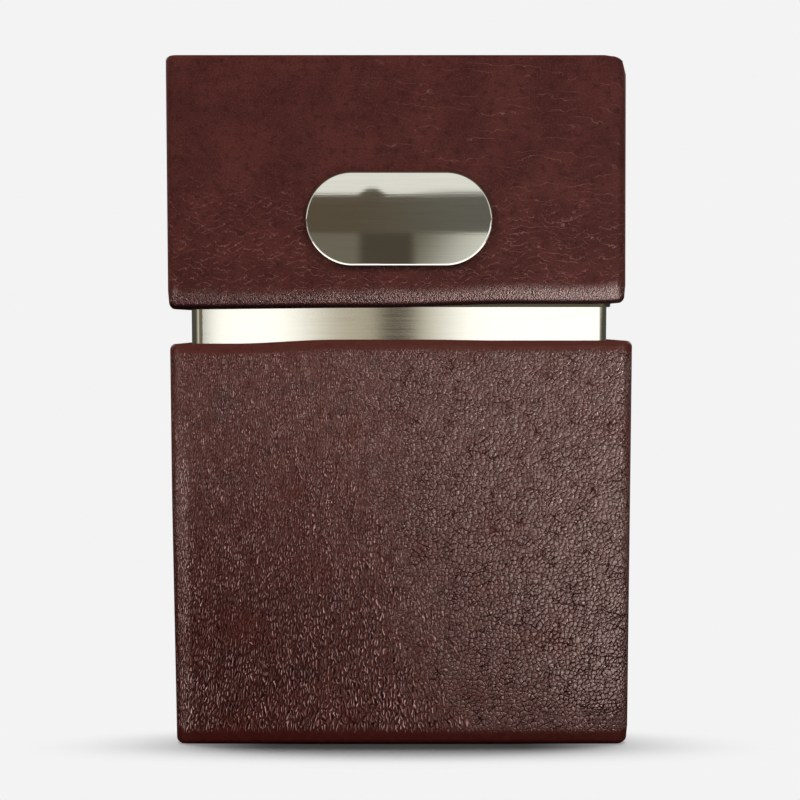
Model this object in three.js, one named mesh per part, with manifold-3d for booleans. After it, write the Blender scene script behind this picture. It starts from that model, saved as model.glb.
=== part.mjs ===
// A leather-covered cigarette case. A steel neck stands in the base, and the lid slides down over it.
// Millimetres, +Z up, origin in the middle of the bottom face, front towards -Y.
import * as THREE from "three";
import { mergeVertices } from "three/addons/utils/BufferGeometryUtils.js";
import Module from "manifold-3d";

// The pack of cigarettes that the case is made to hold
const PACK_WIDTH = 56;
const PACK_DEPTH = 23;
const PACK_HEIGHT = 87;
const PACK_CLEARANCE = 1;
const HEADROOM = 0.85;

// How the two halves meet
const LID_HEIGHT = 34.5;
const CLOSED_GAP = 0.4;
const LID_RAISED = 4.4;
const NECK_HEIGHT = 13;
const SLIDE_CLEARANCE = 0.15;
const LINER_REACH = 0.3;

// Sheet steel
const NECK_STEEL = 0.5;
const LINER_STEEL = 0.35;
const NECK_BEND = 1.3;
const PAN_WALL = 4;

// Board and leather, with a layer of turned-in leather or pan wall between the board and the steel
const BASE_BOARD = 1.8;
const FLOOR_BOARD = 1.2;
const BASE_LINING = 0.4;
const LID_BOARD = 0.7;
const TOP_BOARD = 0.8;
const LID_LINING = 0.3;
const LEATHER = 0.8;
const GLUE_LINE = 0.1;
const SEAM = 0.3;

// How the leather is folded
const CASE_CORNER = 1.7;
const RIM_ROUND = 1;
const RIM_INNER_ROUND = 0.6;
const END_ROUND = 1;
const TURN_IN = 8;
const TURN_OVER = 5;

// The plate on the lid's front
const PLATE_WIDTH = 26;
const PLATE_HEIGHT = 13;
const PLATE_THICKNESS = 0.7;
const PLATE_BEVEL = 0.35;
const PLATE_ABOVE_RIM = 12;
const TAPE_THICKNESS = 0.2;
const TAPE_INSET = 1;

// Facets in a quarter turn of an outline are twice these
const CORNER_STEPS = 3;
const EDGE_STEPS = 2;
const PLATE_STEPS = 10;

const wasm = await Module();
wasm.setup();

const neckHalfX = PACK_WIDTH / 2 + PACK_CLEARANCE + NECK_STEEL;
const neckHalfY = PACK_DEPTH / 2 + PACK_CLEARANCE + NECK_STEEL;

const leather = new THREE.MeshStandardMaterial({ color: 0x4c2622, roughness: 0.5, metalness: 0 });
const board = new THREE.MeshStandardMaterial({ color: 0x8a8178, roughness: 0.9, metalness: 0 });
const steel = new THREE.MeshStandardMaterial({ color: 0xc9c9c4, roughness: 0.2, metalness: 1 });
const plateSteel = new THREE.MeshStandardMaterial({ color: 0xb9b6b0, roughness: 0.28, metalness: 1 });
const tape = new THREE.MeshStandardMaterial({ color: 0x2b2b2b, roughness: 0.8, metalness: 0 });

// The layers of one half, each as a distance out from the neck's outer face.
function wallLayers({ steelInside, sheet, lining, boardThickness }) {
  const steelOutside = steelInside + sheet;
  const liningInside = steelOutside + GLUE_LINE;
  const liningOutside = liningInside + lining;
  const boardInside = liningOutside + GLUE_LINE;
  const boardOutside = boardInside + boardThickness;
  const leatherInside = boardOutside + GLUE_LINE;
  const leatherOutside = leatherInside + LEATHER;
  return {
    steelInside,
    steelOutside,
    liningInside,
    liningOutside,
    boardInside,
    boardOutside,
    leatherInside,
    leatherOutside,
  };
}

// What closes the far end of one half, from its outer face inwards.
function endLayers(endBoard, pan) {
  const boardOutside = LEATHER + GLUE_LINE;
  const boardInside = boardOutside + endBoard;
  const panOutside = boardInside + GLUE_LINE;
  const panInside = panOutside + pan;
  return { boardOutside, boardInside, panOutside, panInside };
}

const baseWall = wallLayers({
  steelInside: -NECK_STEEL,
  sheet: NECK_STEEL,
  lining: BASE_LINING,
  boardThickness: BASE_BOARD,
});
const lidWall = wallLayers({
  steelInside: SLIDE_CLEARANCE,
  sheet: LINER_STEEL,
  lining: LID_LINING,
  boardThickness: LID_BOARD,
});
const baseEnd = endLayers(FLOOR_BOARD, BASE_LINING);
const lidEnd = endLayers(TOP_BOARD, LID_LINING);

const closedHeight = baseEnd.panInside + PACK_HEIGHT + HEADROOM + lidEnd.panInside;
const baseHeight = closedHeight - LID_HEIGHT - CLOSED_GAP;

// Each half is measured from its own mouth: `up` turns a depth below the mouth into a height.
const baseHalf = {
  wall: baseWall,
  end: baseEnd,
  height: baseHeight,
  sleeveReach: NECK_HEIGHT,
  up: -1,
};
const lidHalf = {
  wall: lidWall,
  end: lidEnd,
  height: LID_HEIGHT,
  sleeveReach: LINER_REACH,
  up: 1,
};

// A rectangle with round corners, about the middle.
function roundedRectangle(halfX, halfY, corner) {
  const outline = new THREE.Shape();
  const signs = [
    [1, 1],
    [-1, 1],
    [-1, -1],
    [1, -1],
  ];
  signs.forEach(([sx, sy], quarter) => {
    const start = (quarter * Math.PI) / 2;
    outline.absarc(sx * (halfX - corner), sy * (halfY - corner), corner, start, start + Math.PI / 2);
  });
  return outline.closePath();
}

// Inside the boards the corners are concentric with the neck's bend, outside them with the leather's edge.
function cornerAt(wall, out) {
  const { boardInside, leatherInside } = wall;
  const steelCorner = Math.max(NECK_BEND + Math.min(out, boardInside), NECK_BEND / 2);
  const leatherCorner = CASE_CORNER - LEATHER + Math.max(out - leatherInside, 0);
  const share = THREE.MathUtils.clamp((out - boardInside) / (leatherInside - boardInside), 0, 1);
  return THREE.MathUtils.lerp(steelCorner, leatherCorner, share);
}

// One layer of a half, seen from above.
function plan(wall, out) {
  return roundedRectangle(neckHalfX + out, neckHalfY + out, cornerAt(wall, out));
}

// An outline raised between two depths below the mouth.
function prism(outline, half, from, to) {
  const low = Math.min(half.up * from, half.up * to);
  const geometry = new THREE.ExtrudeGeometry(outline, {
    depth: Math.abs(to - from),
    bevelEnabled: false,
    curveSegments: CORNER_STEPS,
  });
  return geometry.translate(0, 0, low);
}

function solidOf(geometry) {
  const bare = geometry.clone();
  bare.deleteAttribute("normal");
  bare.deleteAttribute("uv");
  const merged = mergeVertices(bare, 1e-4);
  return new wasm.Manifold(
    new wasm.Mesh({
      numProp: 3,
      vertProperties: new Float32Array(merged.attributes.position.array),
      triVerts: new Uint32Array(merged.index.array),
    }),
  );
}

function geometryOf(solid) {
  const { vertProperties, triVerts } = solid.getMesh();
  const geometry = new THREE.BufferGeometry();
  geometry.setAttribute("position", new THREE.BufferAttribute(vertProperties, 3));
  geometry.setIndex(new THREE.BufferAttribute(triVerts, 1));
  geometry.computeVertexNormals();
  return geometry;
}

// A band of rings that closes on itself, or is capped at both ends.
function skin(rings, capped) {
  const count = rings[0].length;
  const positions = rings.flat().flatMap((point) => [point.x, point.y, point.z]);
  const indices = [];
  const bands = capped ? rings.length - 1 : rings.length;
  for (let i = 0; i < bands; i++) {
    const next = (i + 1) % rings.length;
    for (let j = 0; j < count; j++) {
      const k = (j + 1) % count;
      const [a, b, c, d] = [i * count + j, i * count + k, next * count + k, next * count + j];
      indices.push(a, b, c, a, c, d);
    }
  }
  if (capped) {
    const last = (rings.length - 1) * count;
    for (let j = 1; j < count - 1; j++) {
      indices.push(0, j + 1, j);
      indices.push(last, last + j, last + j + 1);
    }
  }
  const geometry = new THREE.BufferGeometry();
  geometry.setAttribute("position", new THREE.Float32BufferAttribute(positions, 3));
  geometry.setIndex(indices);
  return geometry;
}

// The leather's section: turned in at the mouth, over the rounded rim, along the wall, and turned over
// the far end. x is the distance out from the neck, y the depth below the mouth.
function leatherSection({ wall, height }) {
  const inside = wall.liningInside;
  const outside = wall.leatherOutside;
  const rimWidth = outside - inside;
  const rim = Math.min(RIM_ROUND, 0.6 * rimWidth);
  const lip = Math.min(RIM_INNER_ROUND, 0.35 * rimWidth);
  const quarter = Math.PI / 2;
  const section = new THREE.Path();
  section.moveTo(inside, TURN_IN);
  section.absarc(inside + lip, lip, lip, 2 * quarter, 3 * quarter);
  section.absarc(outside - rim, rim, rim, -quarter, 0);
  section.absarc(outside - END_ROUND, height - END_ROUND, END_ROUND, 0, quarter);
  section.lineTo(outside - TURN_OVER, height);
  section.lineTo(outside - TURN_OVER, height - LEATHER);
  section.lineTo(wall.leatherInside, height - LEATHER);
  section.lineTo(wall.leatherInside, LEATHER);
  section.lineTo(wall.liningOutside, LEATHER);
  section.lineTo(wall.liningOutside, TURN_IN);
  return section.getPoints(EDGE_STEPS);
}

// A butt seam down the middle of the back.
function seamed(geometry, half) {
  const { leatherOutside } = half.wall;
  const tall = 2 * (half.height + half.sleeveReach);
  const depth = neckHalfY + leatherOutside + 1;
  const slit = new THREE.BoxGeometry(SEAM, depth, tall).translate(0, depth / 2, 0);
  return geometryOf(solidOf(geometry).subtract(solidOf(slit)));
}

// Swept round the case, the section closes into one ring of leather.
function leatherWrap(half) {
  const rings = leatherSection(half).map(({ x: out, y: depth }) =>
    plan(half.wall, out)
      .getPoints(CORNER_STEPS)
      .slice(0, -1)
      .map((point) => new THREE.Vector3(point.x, point.y, half.up * depth)),
  );
  if (half.up < 0) rings.reverse();
  return seamed(skin(rings, false), half);
}

// Inlaid flush between the turned-over edges of the wrap.
function endLeather(half) {
  const outline = plan(half.wall, half.wall.leatherOutside - TURN_OVER - SEAM);
  return prism(outline, half, half.height - LEATHER, half.height);
}

function endBoard(half) {
  const { boardOutside, boardInside } = half.end;
  return prism(plan(half.wall, half.wall.boardOutside), half, half.height - boardInside, half.height - boardOutside);
}

// The long boards run the full width and have their outer corners eased.
function longBoardOutline({ wall }) {
  const halfX = neckHalfX + wall.boardOutside;
  const front = -(neckHalfY + wall.boardOutside);
  const back = -(neckHalfY + wall.boardInside);
  const corner = Math.min(cornerAt(wall, wall.boardOutside), back - front);
  const outline = new THREE.Shape();
  outline.moveTo(halfX, back);
  outline.lineTo(-halfX, back);
  outline.absarc(-halfX + corner, front + corner, corner, Math.PI, 1.5 * Math.PI);
  outline.absarc(halfX - corner, front + corner, corner, 1.5 * Math.PI, 2 * Math.PI);
  return outline.closePath();
}

// The short boards stand between the long ones.
function shortBoardOutline({ wall }) {
  const inside = neckHalfX + wall.boardInside;
  const outside = neckHalfX + wall.boardOutside;
  const halfY = neckHalfY + wall.boardInside - GLUE_LINE;
  const outline = new THREE.Shape();
  outline.moveTo(inside, -halfY);
  outline.lineTo(outside, -halfY);
  outline.lineTo(outside, halfY);
  outline.lineTo(inside, halfY);
  return outline.closePath();
}

// A wall board reaches from under the folded rim to the end board.
function wallBoard(outline, half) {
  return prism(outline, half, LEATHER + GLUE_LINE, half.height - half.end.boardInside - GLUE_LINE);
}

// Sheet bent round the pack, standing on the pan and reaching out of the mouth.
function steelSleeve(half) {
  const outline = plan(half.wall, half.wall.steelOutside);
  outline.holes.push(plan(half.wall, half.wall.steelInside));
  const foot = half.height - half.end.panInside - GLUE_LINE;
  return seamed(prism(outline, half, -half.sleeveReach, foot), half);
}

// A shallow pan whose wall holds the foot of the sleeve.
function steelPan(half) {
  const bottom = half.height - half.end.panOutside;
  const floor = half.height - half.end.panInside;
  const rim = floor - PAN_WALL;
  const overlap = 1;
  const body = solidOf(prism(plan(half.wall, half.wall.liningOutside), half, rim, bottom));
  const hollow = solidOf(prism(plan(half.wall, half.wall.liningInside), half, rim - overlap, floor));
  return geometryOf(body.subtract(hollow));
}

// A stadium standing on its back face, looking towards -Y.
function stadiumRing(width, height, y) {
  return roundedRectangle(width / 2, height / 2, height / 2 - 0.01)
    .getPoints(PLATE_STEPS)
    .slice(0, -1)
    .map((point) => new THREE.Vector3(point.x, y, point.y));
}

// The plate's front edge is rolled over by its bevel.
function plateGeometry() {
  const rings = [stadiumRing(PLATE_WIDTH, PLATE_HEIGHT, 0)];
  for (let step = 0; step <= 2 * EDGE_STEPS; step++) {
    const turn = ((step / (2 * EDGE_STEPS)) * Math.PI) / 2;
    const inset = 2 * PLATE_BEVEL * (1 - Math.cos(turn));
    const y = -(PLATE_THICKNESS - PLATE_BEVEL) - PLATE_BEVEL * Math.sin(turn);
    rings.push(stadiumRing(PLATE_WIDTH - inset, PLATE_HEIGHT - inset, y));
  }
  return skin(rings, true);
}

function tapeGeometry() {
  const width = PLATE_WIDTH - 2 * TAPE_INSET;
  const height = PLATE_HEIGHT - 2 * TAPE_INSET;
  return skin([stadiumRing(width, height, 0), stadiumRing(width, height, -TAPE_THICKNESS)], true);
}

function named(name, geometry, material) {
  const mesh = new THREE.Mesh(geometry, material);
  mesh.name = name;
  return mesh;
}

// The wrapped board box and steel lining that both halves share.
function wrappedBox(half, names) {
  const box = new THREE.Group();
  box.add(named(names.wrap, leatherWrap(half), leather));
  box.add(named(names.endLeather, endLeather(half), leather));
  box.add(named(names.endBoard, endBoard(half), board));
  box.add(named(names.sleeve, steelSleeve(half), steel));
  box.add(named(names.pan, steelPan(half), steel));

  const front = named(names.frontBoard, wallBoard(longBoardOutline(half), half), board);
  const back = named(names.backBoard, wallBoard(longBoardOutline(half), half), board);
  back.rotation.z = Math.PI;
  const right = named(names.rightBoard, wallBoard(shortBoardOutline(half), half), board);
  const left = named(names.leftBoard, wallBoard(shortBoardOutline(half), half), board);
  left.rotation.z = Math.PI;
  box.add(front, back, right, left);
  return box;
}

function base() {
  const box = wrappedBox(baseHalf, {
    wrap: "base_leather_wrap",
    endLeather: "base_bottom_leather",
    endBoard: "base_floor_board",
    sleeve: "neck_sleeve",
    pan: "neck_floor",
    frontBoard: "base_front_board",
    backBoard: "base_back_board",
    leftBoard: "base_left_board",
    rightBoard: "base_right_board",
  });
  box.position.z = baseHeight;
  return box;
}

function lid() {
  const box = wrappedBox(lidHalf, {
    wrap: "lid_leather_wrap",
    endLeather: "lid_top_leather",
    endBoard: "lid_top_board",
    sleeve: "lid_liner_sleeve",
    pan: "lid_liner_top",
    frontBoard: "lid_front_board",
    backBoard: "lid_back_board",
    leftBoard: "lid_left_board",
    rightBoard: "lid_right_board",
  });
  const face = -(neckHalfY + lidWall.leatherOutside);
  const pad = named("nameplate_tape", tapeGeometry(), tape);
  pad.position.set(0, face - GLUE_LINE, PLATE_ABOVE_RIM);
  const plate = named("nameplate", plateGeometry(), plateSteel);
  plate.position.set(0, face - GLUE_LINE - TAPE_THICKNESS - GLUE_LINE, PLATE_ABOVE_RIM);
  box.add(pad, plate);
  box.position.z = baseHeight + CLOSED_GAP + LID_RAISED;
  return box;
}

const cigaretteCase = new THREE.Group();
cigaretteCase.add(base(), lid());

export default cigaretteCase;
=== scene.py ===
import math

import bmesh
import bpy
from mathutils import Matrix, Vector, noise


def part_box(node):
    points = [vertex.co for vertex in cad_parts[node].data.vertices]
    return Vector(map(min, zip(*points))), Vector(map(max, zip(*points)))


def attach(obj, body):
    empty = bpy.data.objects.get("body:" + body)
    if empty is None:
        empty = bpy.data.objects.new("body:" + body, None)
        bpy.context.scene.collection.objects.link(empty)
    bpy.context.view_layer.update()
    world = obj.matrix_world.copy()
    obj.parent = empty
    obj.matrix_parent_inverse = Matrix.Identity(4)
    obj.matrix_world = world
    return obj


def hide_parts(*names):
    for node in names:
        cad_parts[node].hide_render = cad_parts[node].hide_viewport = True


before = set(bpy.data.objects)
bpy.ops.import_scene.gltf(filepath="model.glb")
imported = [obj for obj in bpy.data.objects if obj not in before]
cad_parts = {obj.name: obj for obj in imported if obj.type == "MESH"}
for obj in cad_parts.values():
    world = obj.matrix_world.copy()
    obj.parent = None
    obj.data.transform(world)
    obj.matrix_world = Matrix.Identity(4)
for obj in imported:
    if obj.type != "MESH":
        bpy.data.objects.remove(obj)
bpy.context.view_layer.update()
mm = 0.001
print("frame loaded with", len(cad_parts), "nodes")


# shader helpers

class Wire:  # one output socket, with arithmetic that adds Math nodes
    def __init__(self, finish, socket):
        self.finish = finish
        self.socket = socket

    def math(self, operation, *values):
        return self.finish.add("ShaderNodeMath", {"operation": operation}, dict(enumerate(values)))

    def __add__(self, other):
        return self.math("ADD", self, other)

    __radd__ = __add__

    def __sub__(self, other):
        return self.math("SUBTRACT", self, other)

    def __rsub__(self, other):
        return self.math("SUBTRACT", other, self)

    def __mul__(self, other):
        return self.math("MULTIPLY", self, other)

    __rmul__ = __mul__

    def __truediv__(self, other):
        return self.math("DIVIDE", self, other)

    def __rtruediv__(self, other):
        return self.math("DIVIDE", other, self)


class Finish:  # the node tree of one material, or of the world
    def __init__(self, tree):
        self.tree = tree
        tree.nodes.clear()

    def add(self, kind, settings=None, inputs=None, output=0):
        node = self.tree.nodes.new(kind)
        for name, value in (settings or {}).items():
            setattr(node, name, value)
        for key, value in (inputs or {}).items():
            if isinstance(value, Wire):
                self.tree.links.new(value.socket, node.inputs[key])
            else:
                node.inputs[key].default_value = value
        return Wire(self, node.outputs[output]) if len(node.outputs) else None

    def mix(self, factor, a, b):
        return self.add("ShaderNodeMix", {"data_type": "RGBA"}, {0: factor, 6: a, 7: b}, 2)

    def smooth(self, value, low, high):
        settings = {"interpolation_type": "SMOOTHSTEP"}
        return self.add("ShaderNodeMapRange", settings, {"Value": value, "From Min": low, "From Max": high})

    def ramp(self, value, low, high):
        return self.add("ShaderNodeMapRange", {}, {"Value": value, "From Min": low, "From Max": high})

    def band(self, value, low, high, soft):
        return self.smooth(value, low - soft, low) * (1 - self.smooth(value, high, high + soft))

    def most(self, a, b):
        return self.add("ShaderNodeMath", {"operation": "MAXIMUM"}, {0: a, 1: b})

    def least(self, a, b):
        return self.add("ShaderNodeMath", {"operation": "MINIMUM"}, {0: a, 1: b})

    def place(self, x, y, z=0.0):
        return self.add("ShaderNodeCombineXYZ", {}, {"X": x, "Y": y, "Z": z})

    def parts(self, vector):
        return [self.add("ShaderNodeSeparateXYZ", {}, {0: vector}, axis) for axis in "XYZ"]

    def shift(self, vector, step):
        return self.add("ShaderNodeVectorMath", {"operation": "ADD"}, {0: vector, 1: step})

    def stretch(self, vector, scale):
        return self.add("ShaderNodeVectorMath", {"operation": "MULTIPLY"}, {0: vector, 1: scale})

    def cloud(self, vector, scale, detail=2.0, roughness=0.5, output="Fac"):
        inputs = {"Vector": vector, "Scale": scale, "Detail": detail, "Roughness": roughness}
        return self.add("ShaderNodeTexNoise", {}, inputs, output)

    def blots(self, vector, cloud, limits):  # a cloud cut to soft-edged blots
        return self.smooth(self.cloud(vector, *cloud), *limits)

    def stir(self, vector, *rounds):  # a place pushed about by clouds
        for scale, reach, detail in rounds:
            drift = self.cloud(vector, scale, detail, output="Color")
            inputs = {0: drift, 1: (2 * reach, 2 * reach, 2 * reach), 2: vector}
            vector = self.add("ShaderNodeVectorMath", {"operation": "MULTIPLY_ADD"}, inputs)
        return vector

    def cracks(self, vector):  # how far a point is from the edge of its cell
        settings = {"voronoi_dimensions": "2D", "feature": "DISTANCE_TO_EDGE"}
        return self.add("ShaderNodeTexVoronoi", settings, {"Vector": vector, "Scale": 1.0})

    def domes(self, vector):  # rounded cells, 1 at the middle of each
        settings = {"voronoi_dimensions": "2D", "feature": "F1"}
        off = self.add("ShaderNodeTexVoronoi", settings, {"Vector": vector, "Scale": 1.0}, "Distance")
        return 1 - self.least(off * off * 2.4, 1.0)

    def strands(self, value, width):  # thin lines, one wherever the value is whole
        off = self.add("ShaderNodeMath", {"operation": "PINGPONG"}, {0: value, 1: 0.5})
        return 1 - self.smooth(off, 0.0, width)

    def thread(self, value, width):  # thin lines where a cloud crosses its middle
        off = self.add("ShaderNodeMath", {"operation": "ABSOLUTE"}, {0: value - 0.5})
        return 1 - self.smooth(off, 0.0, width)

    def bump(self, strength, distance, height):
        return self.add("ShaderNodeBump", {}, {"Strength": strength, "Distance": distance, "Height": height})

    def ray(self, kind):
        return self.add("ShaderNodeLightPath", {}, {}, kind)


def paint(red, green, blue):  # a colour as a paint chart gives it, made linear
    def straight(value):
        share = value / 255
        return share / 12.92 if share <= 0.04045 else ((share + 0.055) / 1.055) ** 2.4
    return (straight(red), straight(green), straight(blue), 1.0)


def grey(level):
    return (level, level, level, 1.0)


def newFinish(name):
    material = bpy.data.materials.new(name)
    material.use_nodes = True
    return material, Finish(material.node_tree)


def close(finish, shader, kind="ShaderNodeOutputMaterial"):
    finish.add(kind, {}, {"Surface": shader})


# mesh helpers

meshing = {
    "sharpAngle": math.radians(38),
    "sameHeight": 1e-6,
    "samePlane": 1e-7,
}


def solidFrom(name, bm, material, body, slot, *nodes):
    mesh = bpy.data.meshes.new(name)
    bm.to_mesh(mesh)
    bm.free()
    mesh.shade_smooth()
    mesh.set_sharp_from_angle(angle=meshing["sharpAngle"])
    piece = bpy.data.objects.new(name, mesh)
    bpy.context.scene.collection.objects.link(piece)
    mesh.materials.append(material)
    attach(piece, body)
    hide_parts(*nodes)
    return piece


def soften(bm, edges, offset, steps):
    bmesh.ops.bevel(bm, geom=edges, offset=offset, offset_type="OFFSET", affect="EDGES",
                    segments=steps, profile=0.5, material=-1)


def block(size, middle):
    bm = bmesh.new()
    bmesh.ops.create_cube(bm, size=1)
    bmesh.ops.scale(bm, vec=size, verts=bm.verts)
    bmesh.ops.translate(bm, vec=middle, verts=bm.verts)
    return bm


def uprights(bm, height):
    return [e for e in bm.edges if abs(e.verts[0].co.z - e.verts[1].co.z) > 0.5 * height]


def roundedTube(halfX, halfY, low, high, corner, steps):
    bm = block((2 * halfX, 2 * halfY, high - low), (0, 0, (low + high) / 2))
    soften(bm, uprights(bm, high - low), corner, steps)
    ends = [f for f in bm.faces if abs(f.normal.z) > 0.9]
    bmesh.ops.delete(bm, geom=ends, context="FACES_ONLY")
    return bm


def loopAt(bm, height):
    near = meshing["sameHeight"]
    return [e for e in bm.edges if e.is_boundary and all(abs(v.co.z - height) < near for v in e.verts)]


def grow(bm, edges):
    made = bmesh.ops.extrude_edge_only(bm, edges=edges)["geom"]
    verts = [g for g in made if isinstance(g, bmesh.types.BMVert)]
    rim = [g for g in made if isinstance(g, bmesh.types.BMEdge) and g.is_boundary]
    return verts, rim


def cutAcross(bm, axis, places):
    normal = Vector((axis == 0, axis == 1, axis == 2))
    for place in places:
        everything = bm.verts[:] + bm.edges[:] + bm.faces[:]
        bmesh.ops.bisect_plane(bm, geom=everything, plane_co=normal * place, plane_no=normal,
                               dist=meshing["samePlane"])


def spaced(low, high, step):
    count = max(1, round((high - low) / step))
    return [low + (high - low) * i / count for i in range(1, count)]


def faceOutward(bm):  # an open wall, judged by its front
    bmesh.ops.recalc_face_normals(bm, faces=bm.faces)
    front = min(bm.faces, key=lambda f: f.calc_center_median().y)
    if front.normal.y > 0:
        bmesh.ops.reverse_faces(bm, faces=bm.faces)


# leather

shell = {
    "corner": 1.7 * mm,
    "cornerSteps": 7,
    "leather": 0.7 * mm,
    "turnIn": 7 * mm,
    "turnOver": 5 * mm,
    "lip": 0.6 * mm,
    "lipSteps": 4,
    "roundSteps": 6,
    "grid": 1.4 * mm,
    "endKeep": 1.2 * mm,
    "wallEase": 1.2 * mm,
    "skinDepth": (0.6 * mm, 1.8 * mm),
    "neckSlack": 0.2 * mm,
    "seamHalf": 0.45 * mm,
    "seamDepth": 0.45 * mm,
    "seamReach": 2 * mm,
    "uvPerMetre": 10,
}


def wrapAround(bm, halfX, halfY, low, high):  # the leather lies flat in u round the case and in v up it
    layer = bm.loops.layers.uv.new("wrap")
    scale = shell["uvPerMetre"]
    for face in bm.faces:
        centre = face.calc_center_median()
        side = 1 if centre.x >= 0 else -1
        behind = centre.y > halfY - shell["corner"]
        for loop in face.loops:
            x, y, z = loop.vert.co
            across = abs(x) if side * x >= 0 else -abs(x)
            u = (y + halfY) + (2 * halfX - across if behind else across)
            inset = max(0.0, min(halfX - abs(x), halfY - abs(y)))
            v = z + inset if z > (low + high) / 2 else z - inset
            loop[layer].uv = (side * u * scale, v * scale)


def leatherShell(name, node, lining, mouthUp, form, shape, material, body):
    low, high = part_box(node)
    halfX, halfY = high.x, high.y
    insideX, insideY = (half + shell["neckSlack"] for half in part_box(lining)[1].xy)
    mouth, end = (high.z, low.z) if mouthUp else (low.z, high.z)
    inward = -1 if mouthUp else 1
    bm = roundedTube(halfX, halfY, low.z, high.z, shell["corner"], shell["cornerSteps"])
    rimEdges, endEdges = loopAt(bm, mouth), loopAt(bm, end)

    lipVerts, lipEdges = grow(bm, rimEdges)  # across the rim, then down inside the mouth
    bmesh.ops.scale(bm, vec=(insideX / halfX, insideY / halfY, 1), verts=lipVerts)
    tuckVerts, _ = grow(bm, lipEdges)
    bmesh.ops.translate(bm, vec=(0, 0, inward * shell["turnIn"]), verts=tuckVerts)
    overVerts, _ = grow(bm, endEdges)  # turned over the closed end
    over = shell["turnOver"]
    bmesh.ops.scale(bm, vec=((halfX - over) / halfX, (halfY - over) / halfY, 1), verts=overVerts)
    bmesh.ops.recalc_face_normals(bm, faces=bm.faces)
    soften(bm, rimEdges, form["rimRound"], shell["roundSteps"])
    soften(bm, lipEdges, shell["lip"], shell["lipSteps"])
    soften(bm, endEdges, form["endRound"], shell["roundSteps"])

    step, edge, keep = shell["grid"], shell["corner"], shell["endKeep"]
    cutAcross(bm, 0, spaced(-halfX + edge, halfX - edge, step))
    cutAcross(bm, 0, [-shell["seamHalf"], 0, shell["seamHalf"]])
    cutAcross(bm, 1, spaced(-halfY + edge, halfY - edge, step))
    cutAcross(bm, 2, spaced(low.z + keep, high.z - keep, step))
    faceOutward(bm)
    wrapAround(bm, halfX, halfY, low.z, high.z)
    for vert in bm.verts:
        vert.co += shape(vert.co, halfX, halfY, low.z, high.z)
        if vert.co.y > halfY - shell["seamReach"] and abs(vert.co.x) < shell["seamHalf"]:  # the butt seam
            vert.co.y -= shell["seamDepth"] * (1 - abs(vert.co.x) / shell["seamHalf"])
    bmesh.ops.solidify(bm, geom=bm.faces[:], thickness=shell["leather"])
    return solidFrom(name, bm, material, body, "leather", node)


def ease(value, low, high):
    share = min(1.0, max(0.0, (value - low) / (high - low)))
    return share * share * (3 - 2 * share)


def skin(co, halfX, halfY):  # 1 on the outside of a wall, 0 on what lines its mouth
    return 1 - ease(min(halfX - abs(co.x), halfY - abs(co.y)), *shell["skinDepth"])


def atWall(place, half):  # 1 on the flat of a wall, 0 away from it
    return ease(abs(place), half - shell["wallEase"], half)


def wornCorner(across, up, reach):  # how far a square corner gives way to a round one
    a, b = across / reach[0] + 1, up / reach[1] + 1
    far = math.hypot(a, b)
    if a <= 0 or b <= 0 or far <= 1:
        return 0.0, 0.0
    return a * reach[0] * (1 / far - 1), b * reach[1] * (1 / far - 1)


def dent(co, form):  # a slight unevenness, inward only
    return (0.5 + 0.5 * noise.noise(co * form["rippleScale"])) * form["ripple"]


baseForm = {
    "rimRound": 0.8 * mm,
    "endRound": 0.9 * mm,
    "leftMouth": 0.58 * mm,
    "leftFoot": 0.30 * mm,
    "taperFrom": 35 * mm,
    "leftDip": 0.55 * mm,
    "middleRise": 0.57 * mm,
    "riseAcross": (-24 * mm, -9 * mm),
    "rightFall": 0.12 * mm,
    "fallAcross": (4 * mm, 14 * mm),
    "lipShare": (0.6, 1.0),
    "wornFoot": (1.8 * mm, 1.8 * mm),
    "ripple": 0.08 * mm,
    "rippleScale": 90,
}


def baseLip(x):  # the mouth dips to the left
    rise = baseForm["middleRise"] * ease(x, *baseForm["riseAcross"])
    return rise - baseForm["rightFall"] * ease(x, *baseForm["fallAcross"]) - baseForm["leftDip"]


def shapeBase(co, halfX, halfY, low, high):
    form = baseForm
    wall = skin(co, halfX, halfY)
    rise = (co.z - low) / (high - low)
    left = form["leftMouth"] + form["leftFoot"] * max(0.0, 1 - (co.z - low) / form["taperFrom"])
    pull = max(0.0, -co.x / halfX) * left
    draw = dent(co, form) * atWall(co.y, halfY)
    inward, downward = wornCorner(co.x - halfX, low - co.z, form["wornFoot"])
    lip = baseLip(co.x) * ease(rise, *form["lipShare"])
    return Vector((pull * wall + inward, -math.copysign(draw * wall, co.y), lip - downward))


lidForm = {
    "rimRound": 0.8 * mm,
    "endRound": 0.8 * mm,
    "leftTop": 0.32 * mm,
    "leftRim": 0.42 * mm,
    "rightTop": 0.57 * mm,
    "rightRim": 0.23 * mm,
    "leftSag": 0.50 * mm,
    "middleSag": 0.28 * mm,
    "sagAcross": (-31 * mm, -3 * mm),
    "rightLift": 0.25 * mm,
    "liftAcross": (-3 * mm, 16 * mm),
    "cornerLift": 0.15 * mm,
    "cornerAcross": (27 * mm, 32 * mm),
    "lipShare": (0.0, 0.5),
    "tuck": 0.3 * mm,
    "tuckHeight": 2.6 * mm,
    "wornTop": (3.4 * mm, 2.0 * mm),
    "ripple": 0.08 * mm,
    "rippleScale": 90,
}


def lidLip(x):  # the rim hangs lower on the left
    form = lidForm
    lip = (form["leftSag"] - form["middleSag"]) * ease(x, *form["sagAcross"]) - form["leftSag"]
    lip += (form["middleSag"] + form["rightLift"]) * ease(x, *form["liftAcross"])
    return lip + form["cornerLift"] * ease(x, *form["cornerAcross"])


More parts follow.
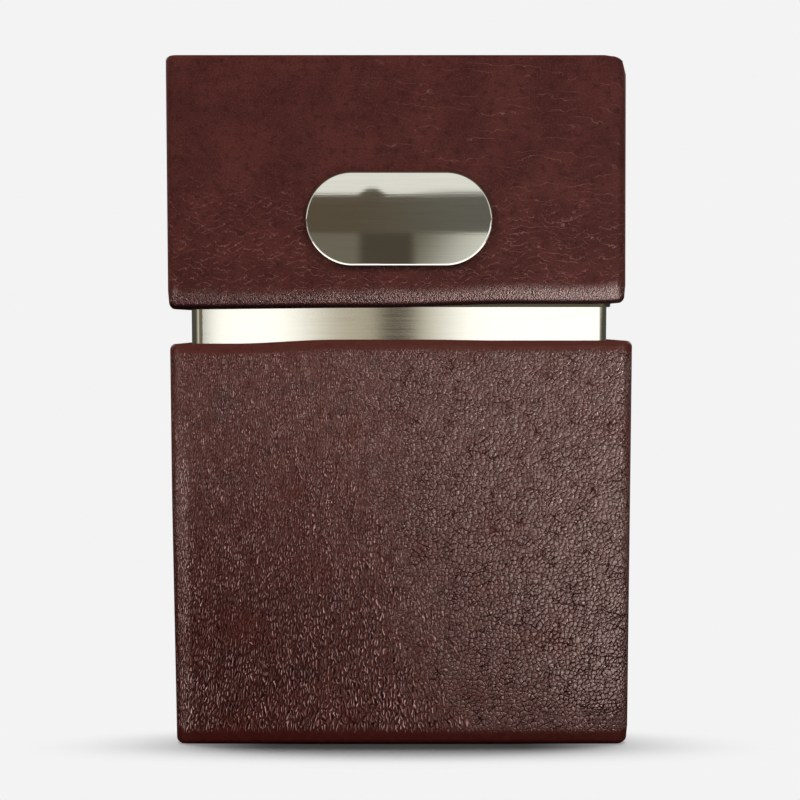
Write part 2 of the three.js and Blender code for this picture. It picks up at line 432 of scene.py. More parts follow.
def shapeLid(co, halfX, halfY, low, high):
    form = lidForm
    wall = skin(co, halfX, halfY)
    rise = (co.z - low) / (high - low)
    left = form["leftRim"] + (form["leftTop"] - form["leftRim"]) * rise
    right = form["rightRim"] + (form["rightTop"] - form["rightRim"]) * rise
    pull = -abs(co.x) / halfX * (left if co.x < 0 else right)
    under = max(0.0, 1 - (co.z - low) / form["tuckHeight"])  # the lower edge draws in a little
    tuck = form["tuck"] * under * under
    pull -= math.copysign(tuck * atWall(co.x, halfX), co.x)
    draw = (dent(co, form) + tuck) * atWall(co.y, halfY)
    inward, downward = wornCorner(co.x - halfX, co.z - high, form["wornTop"])
    lip = lidLip(co.x) * (1 - ease(rise, *form["lipShare"]))
    return Vector((pull * wall + inward, -math.copysign(draw * wall, co.y), lip + downward))


def onWrap(f):  # where a point lies on the flat leather, in mm
    uv = f.add("ShaderNodeUVMap", {"uv_map": "wrap"})
    scale = 1 / (shell["uvPerMetre"] * mm)
    at = f.stretch(uv, (scale, scale, 0))
    u, v, _ = f.parts(at)
    return at, u, v


def leatherSurface(f, tone, height, polish, wax, dull):  # wax and dull are a roughness and a gloss each
    bump = f.bump(1.0, mm, height)
    shaders = [f.add("ShaderNodeBsdfPrincipled", {}, {
        "Base Color": tone,
        "Roughness": roughness,
        "Specular IOR Level": gloss,
        "Normal": bump,
    }) for roughness, gloss in (dull, wax)]
    close(f, f.add("ShaderNodeMixShader", {}, {0: polish, 1: shaders[0], 2: shaders[1]}))


baseLook = {
    "creaseShade": paint(20, 6, 5),
    "softCreaseShade": paint(42, 15, 12),
    "ground": paint(74, 30, 25),
    # painted sheen on the grain's tops
    "top": paint(106, 78, 71),
    "fleck": paint(138, 82, 70),
    # painted glints
    "glintColour": paint(232, 184, 176),
    "smudge": paint(54, 34, 30),
    "shade": paint(52, 20, 17),
    "red": paint(88, 33, 25),
    "rim": paint(86, 44, 37),
    "foot": paint(62, 21, 17),
    "waxGloss": 0.2,
}

baseGrain = {  # places in mm on the flat leather, grains per mm
    "border": (-4, 4),
    "borderMiddle": 28,
    "borderLean": 0.25,
    "borderWander": 44,
    "sheen": (-27, 16),
    "sheenWander": 16,
    "rise": (8, 56),
    "rim": (55.9, 56.6),
    "foot": (1.6, 2.8),
    "edge": (-32.1, -30.6),
    "edgeSoft": 0.5,
    "edgeTop": (36, 50),
    "pebble": (1.75, 1.7),
    "pebbleStir": ((0.6, 0.55, 1.0), (2.0, 0.26, 2.0)),
    "pebbleRim": 0.24,
    "glintStep": (-0.14, -0.12, 0),
    "clump": (0.42, 0.66),
    "clumpStir": ((0.8, 0.5, 1.0), (3.0, 0.16, 2.0)),
    "mouth": 57,
    "fanAside": 8,
    "fanSpread": 0.35,
    "slim": (2.7, 0.02),
    "slimTall": (0.8, 0.007),
    "slimStir": ((0.45, 0.9, 1.0), (1.6, 0.34, 2.0)),
    "slimRim": 0.28,
    "flankStep": (0.19, 0.04, 0),
    "line": (1.6, 0.7),
    "lineStir": ((1.0, 0.5, 1.0),),
    "flow": (0.9, 0.1),
}

baseBlots = {  # a cloud's scale, detail and roughness, then the limits that cut it
    "folds": ((0.3,), (0.4, 0.62)),
    "flanks": ((0.5,), (0.36, 0.64)),
    "flow": ((1.0, 3.0), (0.36, 0.64)),
    "smudge": ((0.17, 3.0, 0.6), (0.52, 0.68)),
    "glints": ((0.5,), (0.36, 0.64)),
    "red": ((0.1, 3.0), (0.5, 0.72)),
    "mottle": ((0.8, 4.0, 0.65), (0.48, 0.66)),
}


def pebbleGrain(f, at, u, v):  # the bold grain on the right
    grain = baseGrain
    across, along = grain["pebble"]
    pebbleAt = f.stir(f.place(u * across, v * along), *grain["pebbleStir"])
    patch = 0.5 + f.cloud(at, 0.4) * 1.4
    gaps = f.cracks(pebbleAt) * patch
    lower = f.cracks(f.shift(pebbleAt, grain["glintStep"])) * patch
    rim = grain["pebbleRim"]
    glint = f.smooth(f.ramp(lower, 0.0, rim) - f.ramp(gaps, 0.0, rim), 0.25, 0.75)
    across, along = grain["clump"]
    clumpAt = f.stir(f.place(u * across, v * along), *grain["clumpStir"])
    folds = 1 - f.smooth(f.cracks(clumpAt), 0.01, 0.07)  # deeper creases round clumps
    return gaps, f.domes(pebbleAt), glint, folds * f.blots(at, *baseBlots["folds"])


def slimGrain(f, fan, v):  # the slim grain on the left
    grain = baseGrain
    (across, narrowing), (along, shortening) = grain["slim"], grain["slimTall"]
    slimAt = f.place(fan * (across - fan * narrowing), v * (along + v * shortening))
    slimAt = f.stir(slimAt, *grain["slimStir"])
    slits = f.cracks(slimAt)
    rim = grain["slimRim"]
    slim = f.ramp(slits, 0.0, rim)
    lean = f.ramp(f.cracks(f.shift(slimAt, grain["flankStep"])), 0.0, rim) - slim
    glintSide = f.smooth(lean, 0.28, 0.8) * (0.3 + f.blots(slimAt, *baseBlots["flanks"]) * 1.1)  # painted glint on one side of each grain, in patches
    return slits, slim, lean, glintSide


def baseLeatherFinish():
    material, f = newFinish("pebbledOxblood")
    at, u, v = onWrap(f)
    look, grain, blots = baseLook, baseGrain, baseBlots
    drift = f.cloud(at, 0.1, 3.0, 0.6)
    leaning = u + (v - grain["borderMiddle"]) * grain["borderLean"]
    right = f.smooth(leaning + (drift - 0.5) * grain["borderWander"], *grain["border"])
    left = 1 - right
    dusk = 1 - f.smooth(u + (drift - 0.5) * grain["sheenWander"], *grain["sheen"])  # less sheen on the left
    down = 1 - f.smooth(v, *grain["rise"])
    grit = f.cloud(at, 5.0, 2.0, 0.6)
    swell = f.cloud(at, 0.3)

    gaps, plump, glint, folds = pebbleGrain(f, at, u, v)
    pebble = f.smooth(gaps, 0.0, 0.2)
    drop = (grain["mouth"] - v) / grain["mouth"]
    fan = (u + grain["fanAside"]) / (1 + drop * drop * grain["fanSpread"])  # spreads out from the mouth
    slits, slim, lean, glintSide = slimGrain(f, fan, v)
    across, along = grain["flow"]
    flow = f.blots(f.place(fan * across, v * along), *blots["flow"])

    rim = f.smooth(v, *grain["rim"])
    foot = 1 - f.smooth(v, *grain["foot"])
    bare = f.most(rim, foot)
    boldness = 0.7 + down * 0.3
    fineness = 0.45 + down * 0.55
    edge = f.band(u, *grain["edge"], grain["edgeSoft"]) * (1 - f.smooth(v, *grain["edgeTop"]))  # painted glint along the left corner, which also keeps more wax
    bold = f.most((1 - f.smooth(gaps, 0.0, 0.18)) * 0.95, folds) * right * boldness
    # painted shade on the shaded side of each slim grain and in its slits
    fine = f.most(f.smooth(0 - lean, 0.1, 0.5), (1 - f.smooth(slits, 0.0, 0.07)) * 0.8)
    creaseShade = (bold + fine * left * fineness) * (1 - bare)
    relief = slim * (0.035 + flow * 0.035) * left * fineness
    relief = relief + (pebble * 0.04 + plump * 0.045 - folds * 0.05) * right * boldness
    height = (relief + grit * 0.015) * (1 - bare * 0.9) + swell * 0.18

    # painted sheen: the grain's tops lighter and greyer, less on the left where dusk lies
    sheenCrest = (pebble * right + slim * left * 0.6) * (1 - dusk * 0.6)
    tone = f.mix(sheenCrest * (0.3 + grit * 0.6), look["ground"], look["top"])
    across, along = grain["line"]
    lineAt = f.stir(f.place(fan * across, v * along), *grain["lineStir"])
    lines = f.thread(f.cloud(lineAt, 1.0, 2.0, 0.6), 0.07)
    tone = f.mix(lines * (0.1 + grit * 0.5) * left, tone, look["fleck"])
    tone = f.mix(f.blots(at, *blots["smudge"]) * left * 0.5, tone, look["smudge"])
    tone = f.mix(dusk * (0.02 + down * 0.5), tone, look["shade"])
    # painted glints: on one side of the slim grains, along the left corner and on the pebbles
    tone = f.mix(glintSide * left * fineness * (0.6 + flow * 0.9 + edge * 3), tone, look["glintColour"])
    tone = f.mix(edge * f.smooth(grit, 0.4, 0.7) * (0.15 + glintSide), tone, look["glintColour"])
    tone = f.mix(glint * right * (0.45 + f.blots(at, *blots["glints"]) * 0.7), tone, look["glintColour"])
    tone = f.mix(f.blots(at, *blots["red"]) * 0.5, tone, look["red"])
    # painted shade in the creases, deeper lower down
    tone = f.mix(creaseShade * 0.95, tone, f.mix(down, look["softCreaseShade"], look["creaseShade"]))
    tone = f.mix(rim, tone, look["rim"])
    # painted shade on the downward-turned foot
    tone = f.mix(foot, tone, look["foot"])
    tone = f.mix(bare * f.blots(at, *blots["mottle"]) * 0.5, tone, look["ground"])
    polish = (1 - f.smooth(creaseShade, 0.05, 0.6)) * (1 - bare * 0.6)  # the wax stays on the high places
    polish = polish * (1 - dusk * (0.3 + down * 0.45 - edge * 0.5))
    leatherSurface(f, tone, height, polish, (0.18 + bare * 0.1, look["waxGloss"]), (0.8 + grit * 0.1, 0.0))
    return material


lidLook = {
    "deep": paint(70, 33, 30),
    "warm": paint(84, 42, 37),
    "scratch": paint(160, 112, 105),
    "fleck": paint(116, 58, 48),
    "pit": paint(50, 24, 21),
    "rim": paint(36, 12, 10),
    "waxGloss": 0.4,
    "dullGloss": 0.03,
}

lidGrain = {  # places in mm on the flat leather, grains per mm
    "longFrom": (-16, 10),
    "shortUpTo": (70, 86),
    "rim": (62.7, 63.3),
    "hem": (63.9, 65.6),
    "hemWander": 1.2,
    "hemGrain": (3.8, 2.4),
    "hemStir": ((0.7, 0.4, 1.0), (2.0, 0.3, 2.0)),
    "longWidth": 0.05,
    "shortWidth": 0.07,
}

lidBlots = {  # a cloud's scale, detail and roughness, then the limits that cut it
    "warmth": ((0.16, 4.0, 0.6), (0.36, 0.66)),
    "pits": ((0.9, 4.0, 0.65), (0.5, 0.66)),
    "longBreaks": ((1.0, 3.0), (0.44, 0.66)),
    "risingBreaks": ((0.7, 3.0), (0.46, 0.64)),
    "fallingBreaks": ((0.55, 3.0), (0.46, 0.64)),
}


def scratches(f, at, u, v, low):  # long ones on the right, short crossing ones lower down
    grain, blots = lidGrain, lidBlots
    sway = f.cloud(f.place(u * 0.14, v * 0.26), 1.0, 3.0, 0.6) * 4 + f.cloud(at, 1.4) * 0.4
    long = f.strands(v * 0.8 + u * 0.05 + sway, grain["longWidth"]) * f.smooth(u, *grain["longFrom"])
    long = long * f.blots(f.place(u * 0.2, v * 0.5), *blots["longBreaks"]) * 0.8
    bend = f.cloud(at, 0.35, 3.0, 0.6) * 3 + f.cloud(at, 1.4) * 0.5
    rising = f.strands(v * 1.1 - u * 0.45 + bend, grain["shortWidth"]) * f.blots(at, *blots["risingBreaks"])
    falling = f.strands(v * 1.2 + u * 0.5 - bend, grain["shortWidth"]) * f.blots(at, *blots["fallingBreaks"])
    short = f.most(rising, falling) * low * 0.8
    return f.most(long, short) * (1 + low * 0.6)


def lidLeatherFinish():
    material, f = newFinish("smoothOxblood")
    at, u, v = onWrap(f)
    look = lidLook
    grit = f.cloud(at, 3.2, 3.0, 0.6)
    tone = f.mix(f.blots(at, *lidBlots["warmth"]), look["deep"], look["warm"])
    fine = f.cloud(at, 4.5, 2.0, 0.6)
    tone = f.mix(f.smooth(fine, 0.5, 0.72) * 0.5, tone, look["fleck"])
    tone = f.mix(f.smooth(fine, 0.46, 0.3) * 0.5, tone, look["pit"])
    tone = f.mix(f.blots(at, *lidBlots["pits"]) * 0.55, tone, look["pit"])
    marks = scratches(f, at, u, v, 1 - f.smooth(v, *lidGrain["shortUpTo"]))
    tone = f.mix(marks * (0.1 + grit * 0.9), tone, look["scratch"])
    # painted shade on the downward-turned lower rim
    rim = 1 - f.smooth(v, *lidGrain["rim"])
    tone = f.mix(rim, tone, look["rim"])

    wander = (f.cloud(at, 0.3) - 0.5) * lidGrain["hemWander"]
    hem = (1 - f.smooth(v + wander, *lidGrain["hem"])) * (1 - rim)  # the lower edge is grained
    across, along = lidGrain["hemGrain"]
    grain = f.domes(f.stir(f.place(u * across, v * along), *lidGrain["hemStir"]))
    # painted shade between the hem's grains
    tone = f.mix(hem * (1 - f.smooth(grain, 0.1, 0.5)) * 0.6, tone, look["rim"])
    height = grit * 0.015 + marks * 0.015 + grain * hem * 0.022
    polish = hem * (0.54 + f.smooth(grain, 0.2, 0.7) * 0.46)
    wax, dull = (0.22 + grit * 0.08, look["waxGloss"]), (0.5 + grit * 0.12, look["dullGloss"])
    leatherSurface(f, tone, height, polish, wax, dull)
    return material


baseLeather = baseLeatherFinish()
lidLeather = lidLeatherFinish()
baseShell = leatherShell("baseLeatherShell", "base_leather_wrap", "neck_sleeve", True,
                         baseForm, shapeBase, baseLeather, "base")
lidShell = leatherShell("lidLeatherShell", "lid_leather_wrap", "lid_liner_sleeve", False,
                        lidForm, shapeLid, lidLeather, "lid")

panel = {
    "corner": 0.9 * mm,
    "cornerSteps": 5,
    "edge": 0.3 * mm,
    "edgeSteps": 4,
    "grid": 2.0 * mm,
    "gridKeep": 1 * mm,
    "ripple": 0.03 * mm,
    "rippleScale": 160,
}


def leatherPanel(name, node, upward, material, body):
    low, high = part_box(node)
    face = high.z if upward > 0 else low.z
    near, keep = meshing["samePlane"], panel["gridKeep"]
    bm = block(high - low, (low + high) / 2)
    soften(bm, uprights(bm, high.z - low.z), panel["corner"], panel["cornerSteps"])
    rim = [e for e in bm.edges if all(abs(v.co.z - face) < near for v in e.verts)]
    soften(bm, rim, panel["edge"], panel["edgeSteps"])
    cutAcross(bm, 0, spaced(low.x + keep, high.x - keep, panel["grid"]))
    cutAcross(bm, 1, spaced(low.y + keep, high.y - keep, panel["grid"]))
    layer = bm.loops.layers.uv.new("wrap")
    scale = shell["uvPerMetre"]
    for part in bm.faces:
        for loop in part.loops:
            x, y, _ = loop.vert.co
            loop[layer].uv = (x * scale, (face + upward * (y - low.y + shell["turnOver"])) * scale)
    for vert in bm.verts:
        if abs(vert.co.z - face) < near:
            vert.co.z -= upward * dent(vert.co, panel)
    solidFrom(name, bm, material, body, "leather", node)


leatherPanel("lidTopPanel", "lid_top_leather", 1, lidLeather, "lid")
leatherPanel("baseBottomPanel", "base_bottom_leather", -1, baseLeather, "base")
print("leather made")


# boards and pad

def dress(material, *nodes):  # a finish for solids that keep their CAD shape
    for node in nodes:
        for slotOf in bpy.data.objects[node].material_slots:
            slotOf.material = material


boardLook = {
    "fibre": paint(150, 142, 130),
    "dark": paint(104, 97, 88),
    "fleck": paint(70, 62, 56),
    "pulpScale": 900.0,
    "fleckScale": 2600.0,
    "relief": 0.05 * mm,
}


def boardFinish():
    material, f = newFinish("greyBoard")
    at = f.add("ShaderNodeTexCoord", {}, {}, "Object")
    pulp = f.cloud(at, boardLook["pulpScale"], 4.0, 0.65)
    flecks = f.smooth(f.cloud(at, boardLook["fleckScale"], 1.0), 0.62, 0.7)
    tone = f.mix(f.smooth(pulp, 0.3, 0.7), boardLook["dark"], boardLook["fibre"])
    close(f, f.add("ShaderNodeBsdfPrincipled", {}, {
        "Base Color": f.mix(flecks * 0.6, tone, boardLook["fleck"]),
        "Roughness": 0.8 + pulp * 0.15,
        "Specular IOR Level": 0.3,
        "Normal": f.bump(0.4, boardLook["relief"], pulp),
    }))
    return material


padLook = {
    "dark": paint(24, 24, 25),
    "pale": paint(54, 53, 52),
    "cellScale": 4000.0,
    "relief": 0.04 * mm,
}


def padFinish():
    material, f = newFinish("foamPad")
    at = f.add("ShaderNodeTexCoord", {}, {}, "Object")
    cells = f.cloud(at, padLook["cellScale"])
    close(f, f.add("ShaderNodeBsdfPrincipled", {}, {
        "Base Color": f.mix(cells, padLook["dark"], padLook["pale"]),
        "Roughness": 0.75 + cells * 0.2,
        "Normal": f.bump(0.5, padLook["relief"], cells),
    }))
    return material


boardTrim = {
    "ends": 0.5 * mm,
    "sides": 0.35 * mm,
    "edge": 0.2 * mm,
    "edgeSteps": 3,
}


def trimmedBoard(half, side, flat):  # cut back a little, to stay under the leather's worn corners
    node = half + "_" + side + "_board"
    low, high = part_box(node)
    cut = Vector((boardTrim["ends"], boardTrim["sides"] if flat else 0, 0))
    bm = block(high - low - 2 * cut, (low + high) / 2)
    soften(bm, bm.edges[:], boardTrim["edge"], boardTrim["edgeSteps"])
    solidFrom(half + side.capitalize() + "Board", bm, greyBoard, half, "board", node)


greyBoard = boardFinish()
dress(padFinish(), "nameplate_tape")
for half, closing in (("base", "floor"), ("lid", "top")):
    dress(greyBoard, half + "_left_board", half + "_right_board")
    for side in ("front", "back", closing):
        trimmedBoard(half, side, side == closing)
print("boards and pad dressed")


# steel

steel = {
    "brushing": (110, 110, 3600),  # streaks per metre, long ones across the case
    "streakDark": 0.86,
    "relief": 0.002 * mm,
    "cornerSteps": 10,
    "edgeSteps": 3,
    "lipAngle": 1.2,
    "seamHalf": 0.05 * mm,
    "seamFlat": 0.3 * mm,
    "bendFlat": 0.1 * mm,
}

neck = {
    "wall": 0.5 * mm,
    "corner": 1.6 * mm,
    "edge": 0.12 * mm,
    "trim": 0.0,
    "colour": paint(226, 224, 214),
    "roughness": 0.06,
    "brushed": 0.2,
}

liner = {
    "wall": 0.35 * mm,
    "corner": 1.8 * mm,
    "edge": 0.1 * mm,
    "trim": 0.12 * mm,
    "colour": paint(190, 190, 186),
    "roughness": 0.3,
    "brushed": 0.4,
    "shade": paint(96, 90, 74),
    "shadeHeight": 0.9 * mm,
    "shadeSoft": 0.4 * mm,
}

plate = {
    "bevel": 0.25 * mm,
    "bevelSteps": 6,
    "inset": 0.06 * mm,
    "segments": 128,
    "colour": paint(224, 223, 215),
    "roughness": 0.02,
    "brushed": 0.1,
}


def steelFinish(name, look, foot=0.0):
    material, f = newFinish(name)
    at = f.add("ShaderNodeTexCoord", {}, {}, "Object")
    streak = f.cloud(f.stretch(at, steel["brushing"]), 1.0, 3.0)
    colour, roughness = look["colour"], look["roughness"]
    tone = f.mix(streak, tuple(c * steel["streakDark"] for c in colour[:3]) + (1.0,), colour)
    if "shade" in look:  # the lower edge lies in the rim's shade
        height, upTo = f.parts(at)[2], foot + look["shadeHeight"]
        tone = f.mix(f.smooth(height, upTo, upTo + look["shadeSoft"]), look["shade"], tone)
    close(f, f.add("ShaderNodeBsdfPrincipled", {}, {
        "Base Color": tone,
        "Metallic": 1.0,
        "Roughness": roughness + (streak - 0.5) * roughness * 0.5,
        "Normal": f.bump(look["brushed"], steel["relief"], streak),
    }))
    return material


def steelSleeve(name, node, form, material, body, slot):
    low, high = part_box(node)
    low.z += form["trim"]
    corner, edge = form["corner"], form["edge"]
    bm = roundedTube(high.x, high.y, low.z, high.z, corner, steel["cornerSteps"])
    seam = steel["seamHalf"]
    cutAcross(bm, 0, [-seam, seam])
    middles = [(f, f.calc_center_median()) for f in bm.faces]
    gap = [f for f, middle in middles if middle.y > 0 and abs(middle.x) < seam]
    bmesh.ops.delete(bm, geom=gap, context="FACES")
    faceOutward(bm)
    bmesh.ops.solidify(bm, geom=bm.faces[:], thickness=form["wall"])
    lips = [e for e in bm.edges if len(e.link_faces) == 2 and e.calc_face_angle(0) > steel["lipAngle"]]
    soften(bm, lips, edge, steel["edgeSteps"])
    cutAcross(bm, 2, [low.z + 2 * edge, high.z - 2 * edge])
    for side in (-1, 1):  # keeps the flats flat beside the bends
        cutAcross(bm, 0, [side * (high.x - corner - steel["bendFlat"]), side * steel["seamFlat"]])
        cutAcross(bm, 1, [side * (high.y - corner - steel["bendFlat"])])
    return solidFrom(name, bm, material, body, slot, node)


def stadiumPlate(name, node, material, body, slot):
    low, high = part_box(node)
    middle = (low + high) / 2
    radius = (high.z - low.z) / 2
    half = (high.x - low.x) / 2 - radius
    count = plate["segments"]
    bm = bmesh.new()
    bmesh.ops.create_circle(bm, cap_ends=True, segments=count, radius=radius)
    bmesh.ops.rotate(bm, cent=(0, 0, 0), matrix=Matrix.Rotation(math.pi / count, 3, "Z"), verts=bm.verts)
    for side in (-1, 1):
        bmesh.ops.translate(bm, vec=(side * half, 0, 0), verts=[v for v in bm.verts if v.co.x * side > 0])
    bmesh.ops.rotate(bm, cent=(0, 0, 0), matrix=Matrix.Rotation(math.pi / 2, 3, "X"), verts=bm.verts)
    bmesh.ops.translate(bm, vec=(middle.x, high.y, middle.z), verts=bm.verts)
    made = bmesh.ops.extrude_face_region(bm, geom=bm.faces[:])["geom"]
    front = [g for g in made if isinstance(g, bmesh.types.BMVert)]
    bmesh.ops.translate(bm, vec=(0, low.y - high.y, 0), verts=front)
    bmesh.ops.recalc_face_normals(bm, faces=bm.faces)
    rim = [e for e in bm.edges if all(abs(v.co.y - low.y) < meshing["samePlane"] for v in e.verts)]
    soften(bm, rim, plate["bevel"], plate["bevelSteps"])
    face = [f for f in bm.faces if f.normal.y < -0.99 and len(f.verts) > 4]
    bmesh.ops.inset_region(bm, faces=face, thickness=plate["inset"])
    return solidFrom(name, bm, material, body, slot, node)


neckSteel = steelFinish("polishedNeck", neck)
linerSteel = steelFinish("linerSteel", liner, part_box("lid_liner_sleeve")[0].z)
plateSteel = steelFinish("plateSteel", plate)
neckTube = steelSleeve("neckSleeve", "neck_sleeve", neck, neckSteel, "base", "neck_steel")
linerTube = steelSleeve("lidLiner", "lid_liner_sleeve", liner, linerSteel, "lid", "liner_steel")
plateFace = stadiumPlate("nameplateFace", "nameplate", plateSteel, "lid", "plate_steel")
dress(neckSteel, "neck_floor")
dress(linerSteel, "lid_liner_top")
print("steel made")


# floor, light and camera

paleLevel = 0.896

floorLook = {
    "radius": 0.7,
    "segments": 96,
    "shadowMiddle": -0.0175,
    "shadowHalf": (0.056, 0.0145),
    "shadowSoft": (0.3, 1.0),
    "shaded": grey(0.3),
    "pale": grey(paleLevel),
    "mirrored": grey(paleLevel * 0.06),
}


def makeFloor():
    bm = bmesh.new()
    bmesh.ops.create_circle(bm, cap_ends=True, segments=floorLook["segments"], radius=floorLook["radius"])
    mesh = bpy.data.meshes.new("floor")
    bm.to_mesh(mesh)
    bm.free()
    floor = bpy.data.objects.new("floor", mesh)
    bpy.context.scene.collection.objects.link(floor)
    material, f = newFinish("paleFloor")
    x, y, _ = f.parts(f.add("ShaderNodeTexCoord", {}, {}, "Object"))
    across, along = floorLook["shadowHalf"]
    spot = f.place(x / across, (y - floorLook["shadowMiddle"]) / along)  # along the front edge
    away = f.add("ShaderNodeVectorMath", {"operation": "LENGTH"}, {0: spot}, "Value")
    lit = f.add("ShaderNodeBsdfDiffuse", {}, {"Color": floorLook["shaded"]})
    mirrored = f.most(f.ray("Is Glossy Ray"), f.ray("Is Diffuse Ray"))
    colour = f.mix(mirrored, floorLook["pale"], floorLook["mirrored"])
    glow = f.add("ShaderNodeEmission", {}, {"Color": colour})
    share = f.smooth(away, *floorLook["shadowSoft"])
    close(f, f.add("ShaderNodeMixShader", {}, {0: share, 1: lit, 2: glow}))
    mesh.materials.append(material)
    return floor


def lampGroup(name, state, *things):  # which things a lamp lights, or leaves out
    group = bpy.data.collections.new(name)
    for thing in things:
        group.objects.link(thing)
    for link in group.collection_objects:
        link.light_linking.link_state = state
    return group


floor = makeFloor()
floorOnly = lampGroup("floorOnly", "INCLUDE", floor)
objectOnly = lampGroup("objectOnly", "EXCLUDE", floor)
leatherOnly = lampGroup("leatherOnly", "INCLUDE", baseShell, lidShell)
plateOnly = lampGroup("plateOnly", "INCLUDE", plateFace)
steelOnly = lampGroup("steelOnly", "INCLUDE", neckTube, linerTube, plateFace)

white = (1, 1, 1)
warm = (1, 0.9, 0.85)
matteLight = {"matte": True, "mirror": False, "tint": white}
plainLight = {"matte": True, "mirror": True, "tint": white}
warmGlint = {"matte": False, "mirror": True, "tint": warm}
whiteGlint = {"matte": False, "mirror": True, "tint": white}

lamps = {  # place, target, size in metres, watts, what it lights, kind
    "keyLight": ((0.32, -0.42, 0.36), (0, 0, 0.05), (0.2, 0.2), 1.5, objectOnly, matteLight),
    "fillLight": ((-0.37, -0.40, 0.34), (0, 0, 0.05), (0.2, 0.2), 1.6, objectOnly, matteLight),
    "nearCard": ((0.085, -0.275, 0.002), (0.085, -0.275, 1), (0.12, 0.49), 2.3, leatherOnly, warmGlint),
    "farCard": ((0.16, -1.0, 0.002), (0.16, -1.0, 1), (0.26, 0.95), 2.8, leatherOnly, warmGlint),
    "glintLamp": ((0.25, -0.5, 0.06), (0, 0, 0.05), (0.05, 0.05), 1.6, leatherOnly, warmGlint),
    "sideGlint": ((-0.34, -0.40, 0.03), (0, 0, 0.03), (0.36, 0.14), 1.8, leatherOnly, warmGlint),
    "plateCard": ((0, -0.15, 0.004), (0, -0.15, 1), (0.3, 0.25), 0.35, plateOnly, warmGlint),
    "steelCard": ((0, 0, 0.001), (0, 0, 1), (1.4, 1.4), 3.4, steelOnly, whiteGlint),
    "backLeft": ((-0.4, 0.42, 0.3), (0, 0, 0.05), (0.3, 0.3), 1.4, objectOnly, plainLight),
    "backRight": ((0.4, 0.42, 0.3), (0, 0, 0.05), (0.3, 0.3), 1.4, objectOnly, plainLight),
    "topLight": ((0, 0.045, 0.9), (0, 0.045, 0), (0.5, 0.08), 21.5, floorOnly, plainLight),
}


def softbox(name, place, target, size, watts, lights, kind):
    lamp = bpy.data.lights.new(name, "AREA")
    lamp.shape = "RECTANGLE"
    lamp.size, lamp.size_y = size
    lamp.energy = watts
    lamp.color = kind["tint"]
    lampObject = bpy.data.objects.new(name, lamp)
    bpy.context.scene.collection.objects.link(lampObject)
    lampObject.location = place
    aim = Vector(target) - Vector(place)
    lampObject.rotation_euler = aim.to_track_quat("-Z", "Y").to_euler()
    lampObject.light_linking.receiver_collection = lights
    lampObject.visible_camera = False
    lampObject.visible_diffuse = kind["matte"]
    lampObject.visible_glossy = kind["mirror"]


for name, settings in lamps.items():
    softbox(name, *settings)

studio = {  # what the steel mirrors; places are slopes seen from the case
    "ambient": 0.3,
    "room": paint(84, 80, 75),
    "nearBand": (-0.2, 0.12, 0.06),
    "tilt": 0.0559,
    "panel": (1.0, 0.995, 0.95, 1.0),
    "horizon": 0.0149,
    "rightDrop": 0.001,
    "hump": (-0.0165, -0.0143, 0.008),
    "humpHeight": 0.0032,
    "blur": (0.0005, 0.002),
    "shelf": paint(98, 88, 74),
    "shelfRight": paint(108, 106, 98),
    "shelfTurn": (-0.03, 0.045),
    "shelfFoot": (-0.0075, -0.0055),
    "wall": paint(122, 117, 103),
    "wallRight": paint(240, 241, 232),
    "wallTurn": (0.012, 0.06),
    "post": paint(84, 76, 65),
    "postBand": (-0.019, 0.004, 0.007),
    "strip": paint(200, 191, 172),
    "stripTop": (-0.034, -0.03),
    "glare": (1.6, 1.6, 1.58, 1),
    "glareLeft": (-0.072, -0.028),
    "glareRight": (0.006, 0.044),
    "gap": paint(72, 62, 48),
    "gapBand": (-0.0098, 0.0068, 0.004),
    "leftEnd": (-0.104, -0.112),
    "rightEnd": (0.5, 1.5),
    "sidePanel": paint(214, 208, 192),
    "sideBand": (-1.3, -0.8, 0.2),
}


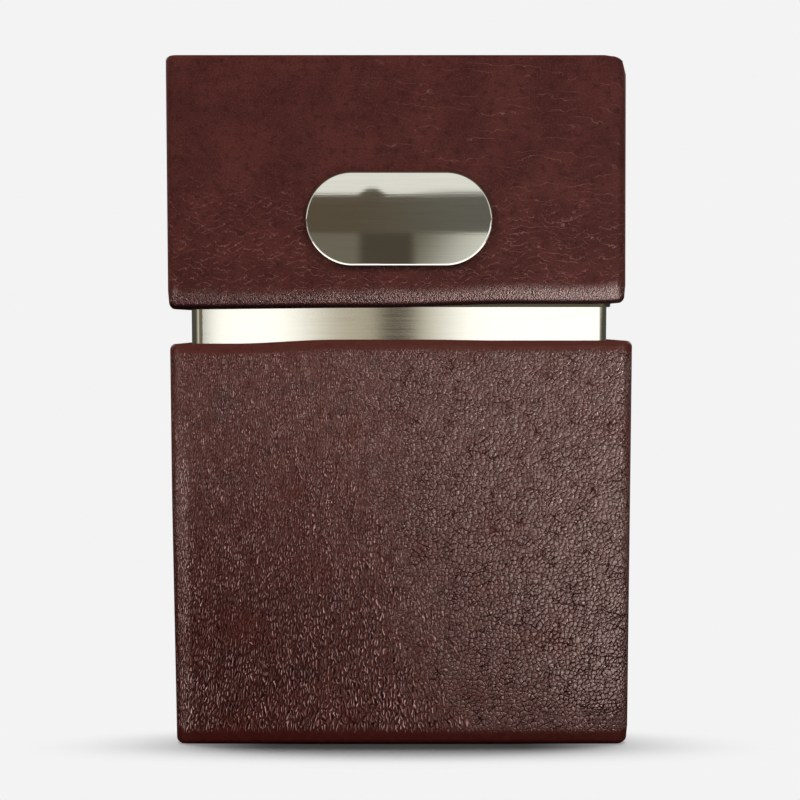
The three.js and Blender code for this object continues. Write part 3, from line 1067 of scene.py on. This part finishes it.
def studioWorld():
    world = bpy.data.worlds.new("studio")
    world.use_nodes = True
    f = Finish(world.node_tree)
    x, y, z = f.parts(f.add("ShaderNodeTexCoord", {}, {}, "Generated"))
    ahead = f.most(0 - y, 0.02)
    lift = z / ahead - studio["tilt"]
    aside = x / ahead

    hump = f.band(aside, *studio["hump"]) * studio["humpHeight"]  # a bright panel above the horizon
    sharp, soft = studio["blur"]
    spread = sharp + f.smooth(aside, 0.0, 0.02) * soft
    edge = lift - studio["horizon"] - hump - f.smooth(aside, 0.0, 0.03) * studio["rightDrop"]
    above = f.smooth(edge / spread, -1.0, 1.0)
    shelf = f.mix(f.smooth(aside, *studio["shelfTurn"]), studio["shelf"], studio["shelfRight"])
    wall = f.mix(f.smooth(aside - lift * 0.5, *studio["wallTurn"]), studio["wall"], studio["wallRight"])
    wall = f.mix(f.band(aside, *studio["postBand"]), wall, studio["post"])
    room = f.mix(f.smooth(lift, *studio["shelfFoot"]), wall, shelf)
    room = f.mix(above, room, studio["panel"])

    glare = f.most(1 - f.smooth(aside, *studio["glareLeft"]), f.smooth(aside, *studio["glareRight"]))
    strip = f.mix(glare, studio["strip"], studio["glare"])  # a lit strip, seen in the neck
    strip = f.mix(f.band(aside, *studio["gapBand"]), strip, studio["gap"])
    strip = f.mix(f.smooth(aside, *studio["leftEnd"]), strip, studio["wall"])
    strip = f.mix(f.smooth(aside, *studio["rightEnd"]), strip, studio["wall"])
    strip = f.mix(f.band(aside, *studio["sideBand"]), strip, studio["sidePanel"])
    room = f.mix(f.smooth(lift, *studio["stripTop"]), strip, room)
    near = f.band(lift, *studio["nearBand"]) * f.smooth(0 - y, 0.2, 0.5)
    room = f.mix(near, studio["room"], room)

    mirrored = f.most(f.ray("Is Glossy Ray"), f.ray("Is Transmission Ray"))
    plain = studio["ambient"] + f.ray("Is Camera Ray") * (paleLevel - studio["ambient"])
    sky = f.mix(mirrored, f.place(plain, plain, plain), room)
    close(f, f.add("ShaderNodeBackground", {}, {"Color": sky, "Strength": 1.0}), "ShaderNodeOutputWorld")
    bpy.context.scene.world = world


shot = {
    "focalPixels": 1791.3,
    "frameSide": 800,
    "axisRow": 500.4,
    "axisX": 0.14 * mm,
    "height": 60 * mm,
    "front": -15.5 * mm,
    "distance": 252.2 * mm,
    "pitch": 5.65,
    "nearest": 0.01,
}


def makeCamera():
    data = bpy.data.cameras.new("camera")
    data.lens = data.sensor_width * shot["focalPixels"] / shot["frameSide"]
    data.shift_y = shot["axisRow"] / shot["frameSide"] - 0.5  # the picture is cut from above the axis
    data.clip_start = shot["nearest"]
    camera = bpy.data.objects.new("camera", data)
    bpy.context.scene.collection.objects.link(camera)
    camera.location = (shot["axisX"], shot["front"] - shot["distance"], shot["height"])
    camera.rotation_euler = (math.radians(90 - shot["pitch"]), 0, 0)
    bpy.context.scene.camera = camera


studioWorld()
makeCamera()
bpy.context.scene.view_settings.view_transform = "Standard"
print("stage set")
